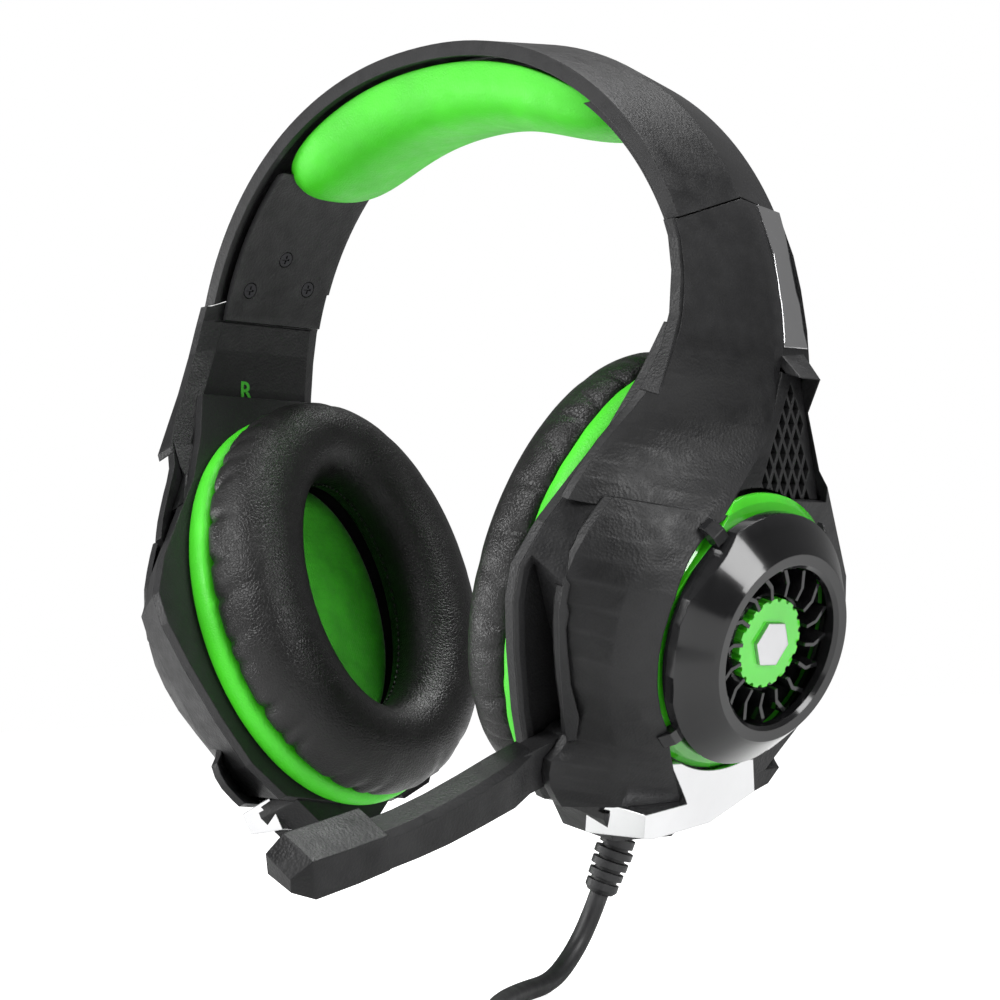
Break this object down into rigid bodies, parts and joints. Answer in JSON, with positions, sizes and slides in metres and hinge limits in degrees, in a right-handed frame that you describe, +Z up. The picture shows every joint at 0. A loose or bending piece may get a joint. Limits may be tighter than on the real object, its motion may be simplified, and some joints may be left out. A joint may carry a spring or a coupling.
{
  "type": "gaming headset",
  "caption": "Closed-back gaming headset: padded green headband, oval black ear pads with green sides, faceted black cups, a swing-down microphone boom and a coiled lead with a jack plug.",
  "frame": {"origin": "middle of the headband cushion's underside, where it rests on the head", "axes": "+Z up, -Y where the wearer looks, +X the wearer's left"},
  "size_m": [0.291, 0.2417, 0.2294],
  "materials": {
    "satin_black": "satin",
    "matte_black": "matte, fine texture",
    "gloss_black": "gloss",
    "ring_green": "gloss, tinted",
    "leather_green": "soft leatherette",
    "leather_black": "soft leatherette",
    "cloth_green": "woven",
    "chrome_trim": "bright",
    "satin_silver": "satin",
    "bright_steel": "brushed",
    "steel": "plain",
    "screw_black": "black oxide",
    "cone_film": "film",
    "circuit_board": "satin",
    "cord_rubber": "matte",
    "tie_black": "hook and loop",
    "jack_metal": "plated"
  },
  "bodies": {
    "headband": {"headband_shell": "satin_black", "headband_spring": "steel", "left_band_lining": "matte_black", "right_band_lining": "matte_black", "left_band_screws": "screw_black", "right_band_screws": "screw_black", "headband_cushion": "leather_green"},
    "left_cup": {"left_slider_strip": "bright_steel", "left_cup_cover": "satin_black", "left_housing": "matte_black", "left_arm_trim": "chrome_trim", "left_arm_grille": "satin_black", "left_baffle": "matte_black", "left_speaker_basket": "matte_black", "left_speaker_magnet": "steel", "left_speaker_cone": "cone_film", "left_pad_skirt": "cloth_green", "left_speaker_cloth": "cloth_green", "left_ear_pad": "leather_black", "left_glow_ring": "ring_green", "left_bezel": "gloss_black", "left_fan_insert": "gloss_black", "left_hub_disc": "ring_green", "left_badge": "satin_silver", "left_light_board": "circuit_board", "left_lower_trim": "chrome_trim", "left_cup_foot": "satin_black", "left_rear_block": "matte_black", "boom_pin": "steel", "strain_relief": "cord_rubber", "cord_tube": "cord_rubber", "cord_tail": "cord_rubber", "cord_coil": "cord_rubber", "cord_tie": "tie_black", "plug_body": "cord_rubber", "plug_jack": "jack_metal"},
    "right_cup": {"right_slider_strip": "bright_steel", "right_cup_cover": "satin_black", "right_housing": "matte_black", "right_arm_trim": "chrome_trim", "right_arm_grille": "satin_black", "right_baffle": "matte_black", "right_speaker_basket": "matte_black", "right_speaker_magnet": "steel", "right_speaker_cone": "cone_film", "right_pad_skirt": "cloth_green", "right_speaker_cloth": "cloth_green", "right_ear_pad": "leather_black", "right_glow_ring": "ring_green", "right_bezel": "gloss_black", "right_fan_insert": "gloss_black", "right_hub_disc": "ring_green", "right_badge": "satin_silver", "right_light_board": "circuit_board", "right_lower_trim": "chrome_trim", "right_cup_foot": "satin_black", "right_rear_block": "matte_black"},
    "boom": {"boom_arm": "satin_black", "mic_head": "matte_black", "mic_capsule": "steel"}
  },
  "joints": [
    {"name": "left_slider", "type": "slide", "parent": "headband", "child": "left_cup", "axis": [0.454, 0, -0.891], "range_m": [0, 0.018]},
    {"name": "right_slider", "type": "slide", "parent": "headband", "child": "right_cup", "axis": [-0.454, 0, -0.891], "range_m": [0, 0.018]},
    {"name": "boom_hinge", "type": "hinge", "parent": "left_cup", "child": "boom", "pos_m": [0.05249, -0.03532, -0.15242], "axis": [-0.9449, 0.0196, 0.3269], "range_deg": [-5, 50]}
  ]
}
